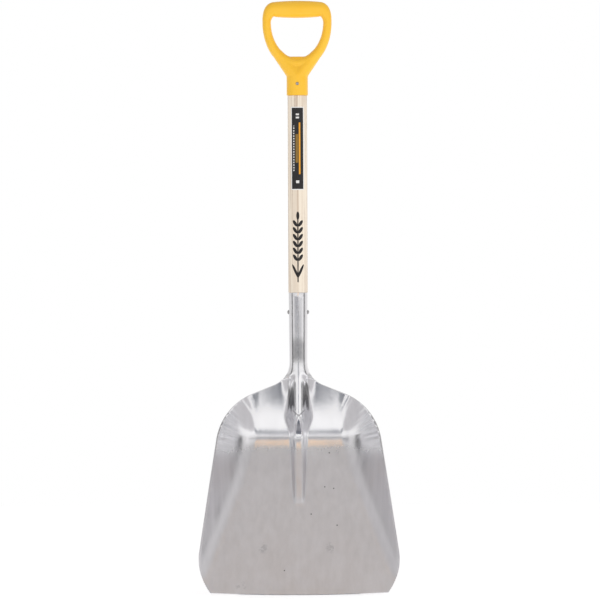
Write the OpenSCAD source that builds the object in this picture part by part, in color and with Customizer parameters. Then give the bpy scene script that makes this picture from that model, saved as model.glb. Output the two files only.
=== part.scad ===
// Grain scoop shovel: a pressed aluminium pan whose neck is rolled into a socket, a turned wooden
// handle, a moulded D-grip and two rivets. The handle's axis is the Z axis, the pan's load side
// faces -Y, and the origin is where a wall hook carries the crossbar of the grip.
// All sizes are in millimetres. Heights are written from the cutting edge, then moved to the origin.

/* [Overall] */
// Height of the shovel from its cutting edge to the top of the grip
overall_h = 1125; // [940:1:1380]
// Angle between the pan's floor and the handle's axis
lift = 24.5; // [20.5:0.5:29]

/* [Pan] */
// Width of the pan at its widest
pan_w = 378; // [315:1:455]
// Height of the neck, where the rolled socket begins, above the cutting edge
neck_z = 438; // [400:1:475]
// Height at which the plane of the floor crosses the handle's axis
floor_cross_z = 225; // [190:1:260]
// Height at which the floor begins to turn up into the back wall
heel_z = 272; // [250:1:290]
// Thickness of the aluminium sheet
sheet_t = 1.8; // [1.4:0.1:2.4]
// Radius of the two front corners, seen from the front
front_corner_r = 104; // [87:1:125]
// Radius of the two shoulders, seen from the front
shoulder_r = 110; // [92:1:132]
// Radius of the hollow between the shoulders and the socket, seen from the front
neck_r = 48; // [38:1:56]
// How far the cutting edge bows forward in its middle
edge_bow = 3.8; // [0:0.2:8]
// Steepest slope of the side walls, as rise over run
wall_slope = 1.5; // [1.2:0.05:1.8]
// Radius of the turn from the floor into the walls
wall_fillet_r = 32; // [24:1:42]

/* [Rib and socket] */
// Outside radius of the socket at the neck
socket_r = 17.2; // [14.5:0.1:21]
// How much that radius grows up to the socket's mouth
socket_flare = 1.1; // [0:0.1:2]
// Length of the round socket, from the neck to its mouth
socket_l = 132; // [110:1:165]
// Half angle that the socket wraps round the handle, which leaves a seam at the back
socket_wrap = 172; // [165:1:175]
// Radius of the rib's rounded top, where the handle's tip lies in it
rib_top_r = 6; // [5:0.5:7.5]
// Slope of the rib's flanks just above its step, as rise over run
rib_slope = 2.1; // [1.7:0.1:2.6]
// Slope of the rib's flanks at the neck, as rise over run
rib_neck_slope = 1.1; // [0.9:0.05:1.4]
// Height at which the rib steps down, below the handle's tip
rib_step_z = 340; // [325:1:350]
// How far the rib's top closes on the handle's axis, from the neck down to that step
rib_closing = 6; // [4:0.5:7]
// Height at which the rib runs out into the floor
rib_end_z = 172; // [150:1:190]
// How far the low stretch of the rib stands over the pan, just below the step
rib_low_h = 18; // [14:0.5:22]
// Half width of the flat top of that low stretch
rib_low_flat = 5; // [4:0.5:6]
// Radius of the turn from that flat top into its flanks
rib_low_r = 3; // [2.5:0.5:4]
// Slope of those flanks, as rise over run
rib_low_slope = 3.5; // [2.8:0.1:4.2]

/* [Handle] */
// Radius of the handle's bare length
handle_r = 18.4; // [15:0.1:22]
// Gap between the wood and what is pushed on it
wood_clearance = 0.2; // [0.1:0.05:0.4]
// Radius of the handle's tapered tip
handle_tip_r = 6; // [5:0.5:7]
// How far the tip stops above the step in the rib
handle_tip_gap = 6; // [4:1:12]

/* [Grip] */
// Height of the whole grip
grip_h = 180; // [174:1:200]
// Outside width of the grip
grip_w = 132; // [120:1:158]
// Height of the crossbar
bar_h = 33; // [29:1:37]
// Depth of the crossbar, front to back
bar_depth = 31; // [27:1:37]
// Width of each arm, seen from the front
arm_w = 16.5; // [14:0.5:20]
// Depth of each arm, front to back
arm_depth = 23; // [19:0.5:27]
// Wall of the sleeve that takes the handle
sleeve_wall = 3.1; // [2.6:0.1:3.7]
// Length of the round sleeve
sleeve_l = 40; // [34:1:46]
// How much the handle's radius is turned down where it goes into the grip
end_turned_down = 1.4; // [1:0.1:2]
// How far the handle goes into the grip
grip_insert = 38; // [31:1:39]

/* [Fasteners and label] */
// Radius of the socket rivet's shank
socket_rivet_r = 3; // [2.5:0.1:3.6]
// Distance of the socket rivet below the socket's mouth
socket_rivet_drop = 37; // [30:1:48]
// Radius of the grip rivet's shank
grip_rivet_r = 2.1; // [1.8:0.1:2.5]
// Height of the grip rivet above the end of the sleeve
grip_rivet_up = 22; // [18:1:26]
// Radial gap between a rivet's shank and its hole
rivet_clearance = 0.1; // [0.05:0.05:0.2]
// Length of the label along the handle
label_l = 158; // [132:1:190]
// Width of the label, measured round the handle
label_w = 26; // [22:0.5:31]
// Distance from the grip to the label
label_gap = 22; // [15:1:30]
// Thickness of the label's film
label_t = 0.2; // [0.15:0.05:0.3]

/* [Hidden] */
FACETS = 96;
HULL_FACETS = 32;
CUT = 1; // how far a cutting tool runs past what it cuts

// Rows and columns of the sheet's mesh
COLUMNS = 22; // on each side of the middle
ROWS_FRONT_CORNER = 8;
ROWS_SIDE = 9;
ROWS_SHOULDER = 10;
ROWS_BROW = 4;
ROWS_NECK = 10;
ROWS_SOCKET = 5;
MIDDLE_CROWDING = 0.36; // share of the even spacing that the columns keep at the middle of the pan
CROWDING_ENDS_AT = 60; // how far below the neck's hollow the columns begin to even out

// Directions of the rim, in degrees inwards from straight up
RIM_START = -37;
RIM_SIDE = 8.8;
RIM_BROW = 68;

// How the walls start: the half width of the floor at the cutting edge, and how fast it narrows
FLOOR_OVER_RIM = -5.4; // the floor is that much narrower than the pan, at the cutting edge
FLOOR_TAPER = 0.4;
BACK_SOFTNESS = 0.76; // the back wall rises that much slower than the sides do
RIB_BLEND = 8; // size of the blend between the rib and the pan, above the step
RIB_LOW_BLEND = 3; // and below it
RIB_STEP_RUN = 45; // length of the step
FOLD_TURN = 80; // length over which the side folds turn upright, at the heel
VALLEY_DEPTH = 20; // the valleys beside the rib sink that far into the back wall, at the neck
VALLEY_FROM = 345; // height at which they begin
VALLEY_HALF_W = 36;
ALWAYS_CURLED = 0.001; // a flat row counts as a roll of a very large radius
ROLL_TAKES_OVER = 0.6; // the pan's shape has given way to the roll once the sheet is that far curled
BOW_FADES_AT = 60; // height at which rows are no longer bowed as the cutting edge is

// The grip's loop
BAR_CROWN = 2; // the crossbar is that much thicker in its middle than at its ends
BAR_FLAT_SHARE = 0.74; // share of the loop's half width that is straight crossbar
LOOP_SIDE_DROP = 25; // how far below the crossbar's middle the arms point straight down
LOOP_BOTTOM_T = 22; // thickness of the loop at its bottom
LOOP_BOTTOM_UP = 20; // how far the loop's centre line stays above the sleeve
TANGENT_STEP = 0.01; // step along the loop that gives its direction
LOOP_BOTTOM_DEPTH = 28;
LOOP_STEPS = 14; // rings on each quarter of the loop
LOOP_SIDES = 20;
ARM_ROOT = 0.48; // how far down the arms the webs start, as a share of the loop's lower quarter
ARM_ROOT_R = 9;
THROAT_ROOT = 0.75; // and where the throat between the arms starts
THROAT_ROOT_R = 8;
WEB_LAND = 4; // length of the sleeve that the webs and the throat run onto

RIVET_HEAD = 1.43; // a rivet head's radius, over its shank's radius
RIVET_HEAD_H = 3;
GRIP_HEAD = 1.5;
GRIP_HEAD_H = 1;
COUNTERBORE_EXTRA = 0.3;
COUNTERBORE_DEPTH = 1.2;
WOOD_CHAMFER = 1;
TAPER_ABOVE_NECK = 10; // the tenon tapers from here, clear of the sheet where it opens out of its roll

mouth_z = neck_z + socket_l;
grip_z = overall_h - grip_h;
handle_top_z = grip_z + grip_insert;
hook_z = overall_h - bar_h;
handle_tip_z = rib_step_z + handle_tip_gap;
socket_rivet_z = mouth_z - socket_rivet_drop;
grip_rivet_z = grip_z + grip_rivet_up;
handle_end_r = handle_r - end_turned_down;
sleeve_bore_r = handle_end_r + wood_clearance;
sleeve_r = sleeve_bore_r + sleeve_wall;
counterbore_r = GRIP_HEAD * grip_rivet_r + COUNTERBORE_EXTRA;

// ---- small helpers ----

function clamp01(t) = min(1, max(0, t));
function smooth(t) = let(c = clamp01(t)) c * c * (3 - 2 * c);
function mix(a, b, t) = a + (b - a) * t;
// The greater of two heights, rounded where they cross over a height of about k.
function soft_max(a, b, k) = let(h = max(k - abs(a - b), 0) / k) max(a, b) + h * h * k / 4;
// A rise that starts flat with radius r, and steepens towards a slope.
function flare(run, slope, r) = let(c = r * slope * slope) sqrt(pow(slope * run, 2) + c * c) - c;
function last(list) = list[len(list) - 1];
function unit(v) = v / norm(v);

function socket_outer_r(z) = socket_r + socket_flare * clamp01((z - neck_z) / socket_l);
function tenon_r(z) = socket_outer_r(z) - sheet_t - wood_clearance;

// ---- the pan's rim, seen from the front, as a chain of tangent arcs and lines ----
// A heading is in degrees inwards from straight up.

// Where an arc goes that starts at [0, 0] and turns from heading a to heading b.
function arc_step(r, a, b) = [-abs(r) * (cos(a) - cos(b)), abs(r) * (sin(b) - sin(a))] * sign(b - a);
function line_step(length, a) = [-sin(a), cos(a)] * length;
function arc_points(start, r, a, b, n) =
    [for (i = [1 : n]) start + arc_step(r, a, a + (b - a) * i / n)];
function line_points(start, length, a, n) =
    [for (i = [1 : n]) start + line_step(length * i / n, a)];

rim_start = [pan_w / 2 - front_corner_r * (1 - cos(RIM_START)), edge_bow];
arcs_total = arc_step(front_corner_r, RIM_START, RIM_SIDE) + arc_step(shoulder_r, RIM_SIDE, RIM_BROW)
    + arc_step(neck_r, RIM_BROW, 0);
to_go = [socket_r, neck_z] - rim_start - arcs_total;
// The two straight stretches take up what the arcs leave of the width and the height.
straights_det = -sin(RIM_SIDE) * cos(RIM_BROW) + sin(RIM_BROW) * cos(RIM_SIDE);
side_l = (to_go[0] * cos(RIM_BROW) + to_go[1] * sin(RIM_BROW)) / straights_det;
brow_l = (-sin(RIM_SIDE) * to_go[1] - cos(RIM_SIDE) * to_go[0]) / straights_det;

rim_corner = concat(
    [rim_start],
    arc_points(rim_start, front_corner_r, RIM_START, RIM_SIDE, ROWS_FRONT_CORNER)
);
rim_side = line_points(last(rim_corner), side_l, RIM_SIDE, ROWS_SIDE);
rim_shoulder = arc_points(last(rim_side), shoulder_r, RIM_SIDE, RIM_BROW, ROWS_SHOULDER);
rim_brow = line_points(last(rim_shoulder), brow_l, RIM_BROW, ROWS_BROW);
rim_neck = arc_points(last(rim_brow), neck_r, RIM_BROW, 0, ROWS_NECK);
rim_socket = [for (i = [1 : ROWS_SOCKET])
    let(z = mix(neck_z, mouth_z, i / ROWS_SOCKET)) [socket_outer_r(z), z]];
rim = concat(rim_corner, rim_side, rim_shoulder, rim_brow, rim_neck, rim_socket);
curl_z = last(rim_brow)[1]; // above this height the sheet's edges curl back round the handle

// ---- the pan's surface, as how far it stands forward of the handle's axis ----

function floor_forward(z) = (floor_cross_z - z) * tan(lift);
// The side folds close in as they rise, until they turn upright at the heel.
function fold_x(z) = pan_w / 2 + FLOOR_OVER_RIM + FLOOR_TAPER * soft_max(-z, -heel_z, FOLD_TURN);
function valley(x, z) =
    VALLEY_DEPTH * smooth((z - VALLEY_FROM) / (neck_z - VALLEY_FROM)) * (1 - smooth(abs(x) / VALLEY_HALF_W));
function dish_forward(x, z) =
    let(
        out = max(0, abs(x) - max(0, fold_x(z))),
        up = BACK_SOFTNESS * max(0, z - heel_z)
    )
    floor_forward(z) + flare(norm([out, up]), wall_slope, wall_fillet_r) - valley(x, z);
// The rib's top above the step, which closes on the handle's tapered tip.
function high_crest(z) =
    socket_outer_r(z) - rib_closing * clamp01((neck_z - z) / (neck_z - rib_step_z));
// The rib's top below the step, which follows the pan and runs out into its floor.
function low_crest(z) =
    dish_forward(0, z) + rib_low_h * sqrt(clamp01((z - rib_end_z) / (rib_step_z - rib_end_z)))
    - (z < rib_end_z ? rib_low_h : 0) * clamp01((rib_end_z - z) / RIB_LOW_BLEND);
function above_step(z) = smooth(1 + (z - rib_step_z) / RIB_STEP_RUN);
function rib_forward(x, z) =
    let(
        above = above_step(z),
        from_flat = max(0, abs(x) - mix(rib_low_flat, 0, above)),
        high_slope = mix(rib_slope, rib_neck_slope, clamp01((z - rib_step_z) / (neck_z - rib_step_z)))
    )
    mix(low_crest(z), high_crest(z), above)
    - flare(from_flat, mix(rib_low_slope, high_slope, above), mix(rib_low_r, rib_top_r, above));
function pan_forward(x, z) =
    soft_max(dish_forward(x, z), rib_forward(x, z), mix(RIB_LOW_BLEND, RIB_BLEND, above_step(z)));

// ---- the sheet's front surface, as a mesh of rows and columns ----

function curl(z) = smooth((z - curl_z) / (neck_z - curl_z));
function column(u, z) =
    let(even = mix(MIDDLE_CROWDING, 1, smooth((z - curl_z + CROWDING_ENDS_AT) / CROWDING_ENDS_AT)))
    sign(u) * (even * abs(u) + (1 - even) * u * u);
function row_height(u, edge_z) = edge_z - edge_bow * (1 - smooth(edge_z / BOW_FADES_AT)) * (1 - u * u);
// The sheet's edges roll back about the handle, by an angle that grows from nothing to the socket's wrap.
// The roll's widest place is always as wide as the rim, and its front stays on the rib's top.
function roll_angle(c) = socket_wrap * max(c, ALWAYS_CURLED);
function roll_r(edge_x, c) = edge_x / sin(min(90, roll_angle(c)));
function sheet_point(u, edge) =
    let(
        c = curl(edge[1]),
        across = column(u, edge[1]),
        z = row_height(across, edge[1]),
        r = roll_r(edge[0], c),
        turned = roll_angle(c) * across,
        x = r * sin(turned),
        rolled = high_crest(z) - r * (1 - cos(turned))
    )
    [x, -mix(pan_forward(x, z), rolled, smooth(c / ROLL_TAKES_OVER)), z];
front = [for (edge = rim) [for (j = [-COLUMNS : COLUMNS]) sheet_point(j / COLUMNS, edge)]];
ROW_TOP = len(front) - 1;
COLUMN_END = 2 * COLUMNS;
function across_at(i, j) = front[i][min(COLUMN_END, j + 1)] - front[i][max(0, j - 1)];
function along_at(i, j) = front[min(ROW_TOP, i + 1)][j] - front[max(0, i - 1)][j];
back = [for (i = [0 : ROW_TOP]) [for (j = [0 : COLUMN_END])
    front[i][j] - sheet_t * unit(cross(across_at(i, j), along_at(i, j)))]];

function flat_list(rows) = [for (row = rows) each row];
function at(i, j) = i * (COLUMN_END + 1) + j;
// Two triangles for each cell, whose diagonals mirror about the middle.
function cell(a, b, c, d, mirrored) = mirrored ? [[a, b, d], [b, c, d]] : [[a, b, c], [a, c, d]];
BACK = (ROW_TOP + 1) * (COLUMN_END + 1);
function back_cell(i, j) =
    cell(BACK + at(i, j + 1), BACK + at(i + 1, j + 1), BACK + at(i + 1, j), BACK + at(i, j), j < COLUMNS);
front_faces = [for (i = [0 : ROW_TOP - 1]) for (j = [0 : COLUMN_END - 1])
    each cell(at(i, j), at(i + 1, j), at(i + 1, j + 1), at(i, j + 1), j >= COLUMNS)];
back_faces = [for (i = [0 : ROW_TOP - 1]) for (j = [0 : COLUMN_END - 1])
    each back_cell(i, j)];
// A strip across the sheet's edge, from the mesh point a to the next one, b.
function edge_cell(a, b) = cell(a, BACK + a, BACK + b, b, false);
side_faces = [for (i = [0 : ROW_TOP - 1]) each concat(
    edge_cell(at(i, 0), at(i + 1, 0)),
    edge_cell(at(i + 1, COLUMN_END), at(i, COLUMN_END)))];
end_faces = [for (j = [0 : COLUMN_END - 1]) each concat(
    edge_cell(at(0, j + 1), at(0, j)),
    edge_cell(at(ROW_TOP, j), at(ROW_TOP, j + 1)))];

// ---- shapes that repeat ----

module along_x() rotate([0, 90, 0]) children();
module along_y() rotate([90, 0, 0]) children();

// A solid rivet on the Z axis: a shank with a domed head at each end, span apart under the heads.
module rivet(shank_r, span, head_r, head_h) {
    dome_r = (head_r * head_r + head_h * head_h) / (2 * head_h);
    cylinder(r = shank_r, h = span, center = true, $fn = FACETS);
    for (side = [0, 1]) mirror([0, 0, side]) intersection() {
        translate([0, 0, span / 2 + head_h - dome_r]) sphere(r = dome_r, $fn = FACETS);
        translate([0, 0, span / 2]) cylinder(r = head_r + CUT, h = head_h + CUT, $fn = FACETS);
    }
}

// ---- the pieces ----

module blade() {
    color([0.75, 0.75, 0.76]) difference() {
        polyhedron(
            points = concat(flat_list(front), flat_list(back)),
            faces = concat(front_faces, back_faces, side_faces, end_faces)
        );
        translate([0, 0, socket_rivet_z]) along_x()
            cylinder(r = socket_rivet_r + rivet_clearance, h = 3 * socket_r, center = true, $fn = FACETS);
    }
}

// The turned profile runs from the tip in the rib, through the tenon in the socket, to the end in the grip.
module handle() {
    color([0.88, 0.79, 0.64]) difference() {
        rotate_extrude($fn = FACETS) polygon([
            [0, handle_tip_z],
            [handle_tip_r - 2 * WOOD_CHAMFER, handle_tip_z],
            [handle_tip_r, handle_tip_z + 2 * WOOD_CHAMFER],
            [tenon_r(neck_z), neck_z + TAPER_ABOVE_NECK],
            [tenon_r(mouth_z), mouth_z],
            [tenon_r(mouth_z), mouth_z + wood_clearance],
            [handle_r - WOOD_CHAMFER / 2, mouth_z + wood_clearance],
            [handle_r, mouth_z + wood_clearance + WOOD_CHAMFER / 2],
            [handle_r, grip_z - wood_clearance - WOOD_CHAMFER / 2],
            [handle_r - WOOD_CHAMFER / 2, grip_z - wood_clearance],
            [handle_end_r, grip_z - wood_clearance],
            [handle_end_r, handle_top_z - WOOD_CHAMFER],
            [handle_end_r - WOOD_CHAMFER, handle_top_z],
            [0, handle_top_z],
        ]);
        translate([0, 0, socket_rivet_z]) along_x()
            cylinder(r = socket_rivet_r + rivet_clearance, h = 3 * handle_r, center = true, $fn = FACETS);
        translate([0, 0, grip_rivet_z]) along_y()
            cylinder(r = grip_rivet_r + rivet_clearance, h = 3 * handle_r, center = true, $fn = FACETS);
    }
}

// The loop's centre line: a crossbar, a rounded corner and a half ellipse, for t from 0 at the
// middle of the crossbar to 3 at the bottom.
bar_z = overall_h - bar_h / 2;
loop_side_x = (grip_w - arm_w) / 2;
loop_side_z = bar_z - LOOP_SIDE_DROP;
loop_bottom_z = grip_z + sleeve_l + LOOP_BOTTOM_UP;
bar_flat_x = BAR_FLAT_SHARE * loop_side_x;
function loop_point(t) =
    t < 1 ? [bar_flat_x * t, bar_z]
    : t < 2 ? [
        mix(bar_flat_x, loop_side_x, sin(90 * (t - 1))),
        mix(loop_side_z, bar_z, cos(90 * (t - 1)))
    ]
    : [
        loop_side_x * cos(90 * (t - 2)),
        mix(loop_side_z, loop_bottom_z, sin(90 * (t - 2)))
    ];
function loop_half_width(t) =
    t < 1 ? bar_h / 2 - BAR_CROWN * t * t
    : t < 2 ? mix(bar_h / 2 - BAR_CROWN, arm_w / 2, smooth(t - 1))
    : mix(arm_w / 2, LOOP_BOTTOM_T / 2, smooth(t - 2));
function loop_half_depth(t) =
    t < 1 ? bar_depth / 2 - BAR_CROWN * t * t
    : t < 2 ? mix(bar_depth / 2 - BAR_CROWN, arm_depth / 2, smooth(t - 1))
    : mix(arm_depth / 2, LOOP_BOTTOM_DEPTH / 2, smooth(t - 2));
// One ring of the loop. The left half mirrors the right half.
function loop_ring(t, side) =
    let(
        p = loop_point(t),
        d = unit(loop_point(min(3, t + TANGENT_STEP)) - loop_point(max(0, t - TANGENT_STEP)))
    )
    [for (k = [0 : LOOP_SIDES - 1])
        let(a = 360 * k / LOOP_SIDES, w = loop_half_width(t) * cos(a))
        [side * (p[0] - d[1] * w), side * loop_half_depth(t) * sin(a), p[1] + d[0] * w]];
loop_half = [for (i = [0 : 3 * LOOP_STEPS]) i / LOOP_STEPS];
function mirrored_ring(t) =
    let(r = loop_ring(t, 1)) [for (k = [0 : LOOP_SIDES - 1]) [-r[k][0], r[k][1], r[k][2]]];
loop_rings = concat(
    [for (t = loop_half) loop_ring(t, 1)],
    [for (i = [3 * LOOP_STEPS - 1 : -1 : 1]) mirrored_ring(i / LOOP_STEPS)]
);

module grip_loop() {
    n = len(loop_rings);
    polyhedron(
        points = flat_list(loop_rings),
        faces = [for (i = [0 : n - 1]) for (k = [0 : LOOP_SIDES - 1])
            let(i2 = (i + 1) % n, k2 = (k + 1) % LOOP_SIDES)
            each [
                [i * LOOP_SIDES + k, i * LOOP_SIDES + k2, i2 * LOOP_SIDES + k2],
                [i * LOOP_SIDES + k, i2 * LOOP_SIDES + k2, i2 * LOOP_SIDES + k]
            ]]
    );
}

// A ball on the loop's centre line, which a web or the throat is drawn from.
module loop_ball(t, r, side) {
    root = loop_point(t);
    translate([side * root[0], 0, root[1]]) sphere(r = r, $fn = HULL_FACETS);
}

module sleeve_land() {
    translate([0, 0, grip_z + sleeve_l - WEB_LAND])
        cylinder(r = sleeve_r, h = WEB_LAND / 2, $fn = HULL_FACETS);
}

// A web carries each arm down into the sleeve.
module grip_web(side) {
    hull() {
        loop_ball(2 + ARM_ROOT, ARM_ROOT_R, side);
        sleeve_land();
    }
}

// The throat fills the fork between the two webs.
module grip_throat() {
    hull() {
        for (side = [-1, 1]) loop_ball(2 + THROAT_ROOT, THROAT_ROOT_R, side);
        sleeve_land();
    }
}

module d_grip() {
    color([0.98, 0.68, 0.12]) difference() {
        union() {
            grip_loop();
            for (side = [-1, 1]) grip_web(side);
            grip_throat();
            translate([0, 0, grip_z]) cylinder(r = sleeve_r, h = sleeve_l, $fn = FACETS);
        }
        translate([0, 0, grip_z - CUT])
            cylinder(r = sleeve_bore_r, h = grip_insert + CUT + wood_clearance, $fn = FACETS);
        translate([0, 0, grip_rivet_z]) along_y() {
            cylinder(r = grip_rivet_r + rivet_clearance, h = 3 * sleeve_r, center = true, $fn = FACETS);
            for (side = [0, 1]) mirror([0, 0, side])
                translate([0, 0, sleeve_r - COUNTERBORE_DEPTH])
                    cylinder(r = counterbore_r, h = sleeve_r, $fn = FACETS);
        }
    }
}

// Its heads bear on the socket where it is widest under them.
module socket_rivet() {
    head_r = RIVET_HEAD * socket_rivet_r;
    color([0.45, 0.45, 0.47]) translate([0, 0, socket_rivet_z]) along_x()
        rivet(socket_rivet_r, 2 * socket_outer_r(socket_rivet_z + head_r), head_r, RIVET_HEAD_H);
}

module grip_rivet() {
    color([0.7, 0.7, 0.72]) translate([0, 0, grip_rivet_z]) along_y()
        rivet(grip_rivet_r, 2 * (sleeve_r - COUNTERBORE_DEPTH), GRIP_HEAD * grip_rivet_r, GRIP_HEAD_H);
}

// A printed film, stuck round the front of the handle below the grip.
module label() {
    wrap = label_w / handle_r * 180 / PI;
    color([0.09, 0.09, 0.1]) translate([0, 0, grip_z - label_gap - label_l])
        rotate([0, 0, -90 - wrap / 2]) rotate_extrude(angle = wrap, $fn = FACETS)
            translate([handle_r, 0]) square([label_t, label_l]);
}

translate([0, 0, -hook_z]) {
    blade();
    handle();
    d_grip();
    socket_rivet();
    grip_rivet();
    label();
}
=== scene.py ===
# %% [markdown]
# # A grain scoop shovel
# A scoop shovel is a pressed aluminium pan with its neck rolled into a socket, a turned ash handle and a
# moulded D-grip, held together by two rivets. The CAD frame holds every piece's size and place. This
# script makes the surfaces that are seen: it loads the frame, sets up a plain studio, models each piece
# over its CAD solid, and gives each one a finish made of shader nodes.

# %% Load the frame
import math

import bpy
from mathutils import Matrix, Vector, noise


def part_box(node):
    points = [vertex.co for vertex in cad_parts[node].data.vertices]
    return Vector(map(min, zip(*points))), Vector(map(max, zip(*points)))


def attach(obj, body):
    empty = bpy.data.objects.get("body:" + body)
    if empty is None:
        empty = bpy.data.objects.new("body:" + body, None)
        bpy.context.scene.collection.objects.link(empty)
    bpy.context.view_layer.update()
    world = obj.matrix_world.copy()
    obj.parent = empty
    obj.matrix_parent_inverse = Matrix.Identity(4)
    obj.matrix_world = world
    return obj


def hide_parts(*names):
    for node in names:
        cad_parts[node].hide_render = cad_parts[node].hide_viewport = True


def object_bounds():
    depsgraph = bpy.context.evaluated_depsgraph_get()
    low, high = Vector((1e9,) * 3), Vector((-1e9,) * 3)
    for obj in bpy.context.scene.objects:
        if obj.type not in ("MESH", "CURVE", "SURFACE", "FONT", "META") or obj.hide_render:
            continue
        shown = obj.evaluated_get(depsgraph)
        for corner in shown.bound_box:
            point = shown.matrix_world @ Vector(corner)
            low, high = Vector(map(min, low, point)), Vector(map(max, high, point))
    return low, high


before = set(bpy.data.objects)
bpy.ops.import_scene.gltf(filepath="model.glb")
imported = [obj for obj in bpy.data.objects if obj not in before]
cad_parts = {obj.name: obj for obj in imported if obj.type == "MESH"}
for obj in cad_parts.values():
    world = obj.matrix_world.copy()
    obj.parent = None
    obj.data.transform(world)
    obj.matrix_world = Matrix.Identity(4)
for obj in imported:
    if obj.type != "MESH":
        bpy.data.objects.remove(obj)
cad_low, cad_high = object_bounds()
bpy.ops.object.select_all(action="DESELECT")
print("CAD box in metres:", [round(v, 4) for v in (*cad_low, *cad_high)])

# %% [markdown]
# ## Heights along the shovel
# The origin is under the crossbar of the grip, so the rest of the shovel hangs below it. A maker measures
# from the cutting edge up, and so do the shapes below: EDGE_Z turns such a height into one in the frame.
# Shapes are written in millimetres, because that is how a press tool or a lathe is set, and `place` turns
# them to metres.

# %% Units and heights
MM = 0.001
MOUTH_Z = 570  # the mouth of the socket, above the cutting edge
blade_low, blade_high = (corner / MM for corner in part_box("blade"))
handle_low, handle_high = (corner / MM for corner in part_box("handle"))
grip_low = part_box("d_grip")[0] / MM
label_low, label_high = (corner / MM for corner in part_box("label"))
EDGE_Z = blade_high.z - MOUTH_Z  # the cutting edge, in the frame
HANDLE_R = handle_high.x
PAN_W = blade_high.x - blade_low.x


def place(x, forward, up):
    """A point given across the pan, forward of the handle's axis and above the cutting edge, in mm."""
    return Vector((x, -forward, up + EDGE_Z)) * MM


print(f"pan {PAN_W:.0f} mm wide, cutting edge at {EDGE_Z:.0f} mm, handle radius {HANDLE_R:.1f} mm")

# %% [markdown]
# ## Camera
# The shovel is seen square from the front, as in a catalogue. A very long lens a long way off keeps both
# ends at one scale, so that the pan, which stands forward of the handle, isn't drawn too large.

# %% Camera
CAMERA_DISTANCE = 14.0
CAMERA_REACH = 60  # how far it can see, in metres
SPACE_ABOVE, SPACE_BELOW = 0.0013, 0.0135  # what the view shows past the shovel's ends, in metres
LEAN = math.radians(0.24)  # the shovel leans by a hair
SIDE_SHIFT = 0.0035  # and stands a little to the left

view_height = (cad_high.z + SPACE_ABOVE) - (cad_low.z - SPACE_BELOW)
view_middle = (cad_high.z + SPACE_ABOVE + cad_low.z - SPACE_BELOW) / 2
bpy.ops.object.camera_add(
    location=(SIDE_SHIFT, -CAMERA_DISTANCE, view_middle), rotation=(math.radians(90), LEAN, 0)
)
camera = bpy.context.object
camera.name = "catalogue_camera"
camera.data.lens = camera.data.sensor_width * CAMERA_DISTANCE / view_height
camera.data.clip_end = CAMERA_REACH
bpy.context.scene.camera = camera
print(f"the view is {view_height:.3f} m high, through a {camera.data.lens:.0f} mm lens")

# %% [markdown]
# ## The room that the metal sees
# Polished metal shows what stands round it, so the studio matters as much as the metal. The backdrop is
# white to the eye. What the metal sees is a room that is white in front and grey to the sides and
# overhead, a little lighter on the right. A Light Path node tells the eye's rays from the metal's.

# %% Room
bpy.context.scene.view_settings.view_transform = "Standard"

world = bpy.data.worlds.new("studio_room")
world.use_nodes = True
bpy.context.scene.world = world
room = world.node_tree
WARM_GREY = 0.985  # green and blue, as a share of red


def room_node(kind, settings, inputs):
    """Adds a node to the room, and gives it back with its sockets filled."""
    new = room.nodes.new(kind)
    for name, value in settings.items():
        setattr(new, name, value)
    for name, value in inputs.items():
        if isinstance(value, bpy.types.NodeSocket):
            room.links.new(value, new.inputs[name])
        else:
            new.inputs[name].default_value = value
    return new


def room_ramp(amount, shades):
    """A grey that follows a number through a few stops."""
    new = room_node("ShaderNodeValToRGB", {}, {0: amount})
    while len(new.color_ramp.elements) < len(shades):
        new.color_ramp.elements.new(0.5)
    for stop, (position, shade) in zip(new.color_ramp.elements, shades):
        stop.position = position
        stop.color = (shade, shade * WARM_GREY, shade * WARM_GREY, 1)
    return new.outputs[0]


ROOM_BY_HEIGHT = (
    (0.0, 0.85), (0.45, 1.0), (0.55, 1.0), (0.62, 0.86), (0.74, 0.60), (0.9, 0.52), (1.0, 0.8)
)
ROOM_BY_SIDE = ((0.0, 1.0), (0.45, 1.0), (0.72, 0.76), (0.9, 0.70), (1.0, 0.74))
LIGHTER_SIDE = 0.72  # how far round towards that grey the right-hand side gets
MULTIPLY, GREATER = {"operation": "MULTIPLY"}, {"operation": "MAXIMUM"}
DARKER = {"operation": "MINIMUM"}
direction = room_node("ShaderNodeTexCoord", {}, {}).outputs["Generated"]
towards = room_node("ShaderNodeSeparateXYZ", {}, {0: direction}).outputs
height = room_node("ShaderNodeMapRange", {}, {"Value": towards["Z"], "From Min": -1.0}).outputs[0]
to_left = room_node("ShaderNodeMath", MULTIPLY, {0: towards["X"], 1: -1.0}).outputs[0]
to_right = room_node("ShaderNodeMath", MULTIPLY, {0: towards["X"], 1: LIGHTER_SIDE}).outputs[0]
sideways = room_node("ShaderNodeMath", GREATER, {0: to_left, 1: to_right}).outputs[0]
by_height = room_ramp(height, ROOM_BY_HEIGHT)
by_side = room_ramp(sideways, ROOM_BY_SIDE)
seen_by_metal = room_node("ShaderNodeVectorMath", DARKER, {0: by_height, 1: by_side}).outputs[0]
to_the_eye = room_node("ShaderNodeLightPath", {}, {}).outputs["Is Camera Ray"]
backdrop = room_node("ShaderNodeMix", {"data_type": "RGBA"}, {0: to_the_eye, 6: seen_by_metal})
backdrop.inputs[7].default_value = (1, 1, 1, 1)
room.links.new(backdrop.outputs[2], room.nodes["Background"].inputs["Color"])
print("the room's darkest grey is", min(shade for _, shade in ROOM_BY_HEIGHT + ROOM_BY_SIDE))

# %% [markdown]
# ## Floor, cards and a lamp
# A product photographer sets out cards for polished metal to mirror. Dark wings at the sides draw the
# edges of the socket. Dark, grey, cool and warm strips that hang in front draw the lines across the pan's
# back wall and the socket. Round cards on the floor shade the neck and the shoulders. The camera doesn't
# see the cards, and they cast no shadow. One soft box from the right gives the wood and the plastic their
# shape.

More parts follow.
